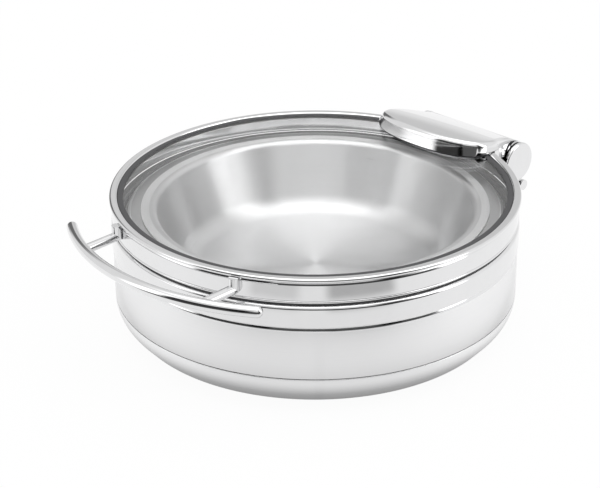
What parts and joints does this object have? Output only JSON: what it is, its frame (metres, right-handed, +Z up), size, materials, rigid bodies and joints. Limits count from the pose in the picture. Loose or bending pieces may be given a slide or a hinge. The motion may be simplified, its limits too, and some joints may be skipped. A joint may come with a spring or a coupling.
{
  "type": "chafing dish food warmer",
  "caption": "Round induction chafing dish: satin water pan, lift-out food pan and a flat glass lid with a curved bar handle on a damped barrel hinge.",
  "frame": {"origin": "centre of the induction base on the table", "axes": "+Z up, +Y towards the hinge, -Y towards the handle"},
  "size_m": [0.4349, 0.5475, 0.1683],
  "materials": {
    "satin_steel": "fine satin, pale grey",
    "polished_steel": "mirror polished stainless steel",
    "pan_steel": "brushed in circles",
    "base_steel": "ground magnetic steel",
    "plain_steel": "plain bright steel",
    "core_aluminium": "plain aluminium",
    "gasket_rubber": "dark grey silicone rubber",
    "clear_glass": "clear tempered glass",
    "bush_plastic": "dark grey bearing plastic",
    "damper_plastic": "black plastic"
  },
  "bodies": {
    "base": {"induction_base": "base_steel", "heat_disc": "core_aluminium", "water_pan": "satin_steel", "rim_collar": "polished_steel", "backing_plate": "plain_steel", "hinge_bracket": "polished_steel", "bracket_screws": "plain_steel", "hinge_shaft": "plain_steel", "end_cap_left": "polished_steel", "end_cap_right": "polished_steel", "lid_seal": "gasket_rubber"},
    "pan": {"food_pan": "pan_steel"},
    "lid": {"lid_rim": "polished_steel", "lid_gasket": "gasket_rubber", "lid_glass": "clear_glass", "handle_bar": "polished_steel", "handle_post_left": "polished_steel", "handle_post_right": "polished_steel", "hinge_arm": "polished_steel", "hinge_cover": "polished_steel", "clamp_pad_upper": "gasket_rubber", "clamp_pad_lower": "gasket_rubber", "clamp_plate": "plain_steel", "clamp_screws": "plain_steel", "bush_left": "bush_plastic", "bush_right": "bush_plastic", "damper_left": "damper_plastic", "damper_right": "damper_plastic"}
  },
  "joints": [
    {"name": "lid_hinge", "type": "hinge", "parent": "base", "child": "lid", "pos_m": [0, 0.257, 0.1203], "axis": [-1, 0, 0], "range_deg": [0, 90]},
    {"name": "pan_lift", "type": "slide", "parent": "base", "child": "pan", "axis": [0, 0, 1], "range_m": [0, 0.01]}
  ]
}
